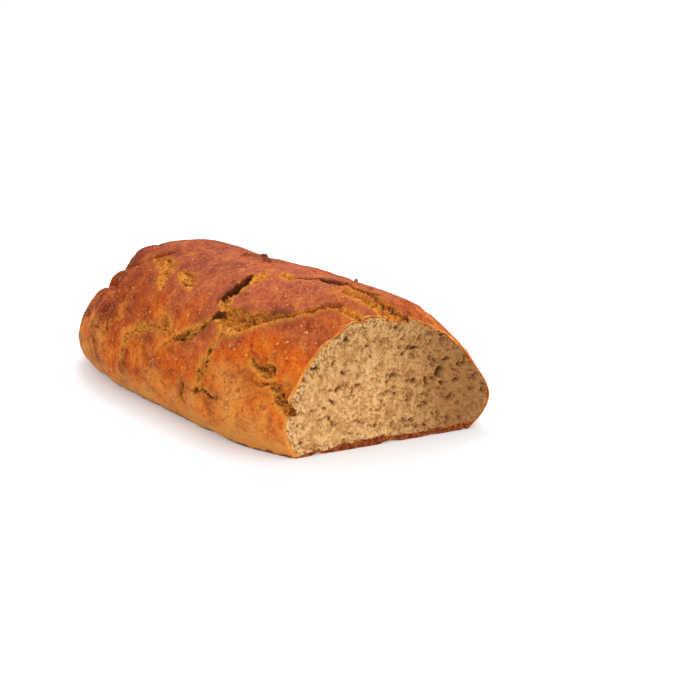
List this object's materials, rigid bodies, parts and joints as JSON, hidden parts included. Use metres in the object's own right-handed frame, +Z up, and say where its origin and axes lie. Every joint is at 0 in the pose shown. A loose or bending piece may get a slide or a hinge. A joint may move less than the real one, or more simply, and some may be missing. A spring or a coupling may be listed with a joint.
{
  "type": "bread loaf with one end cut off",
  "caption": "Oblong free-form bread loaf with a domed, cracked brown crust and a flat base, one end rounded, the other cut straight to show the crumb.",
  "frame": {"origin": "bottom centre of the loaf's box, on the surface it stands on", "axes": "+X along the loaf from its rounded end to its cut face, +Z up; the front side, which bulges a little more, faces -Y"},
  "size_m": [0.23, 0.1204, 0.0635],
  "materials": {
    "crust": "baked bread crust, satin, reddish brown on top to golden at the base, with tan crumb on the cut face"
  },
  "bodies": {
    "root": {"loaf": "crust"}
  },
  "joints": []
}
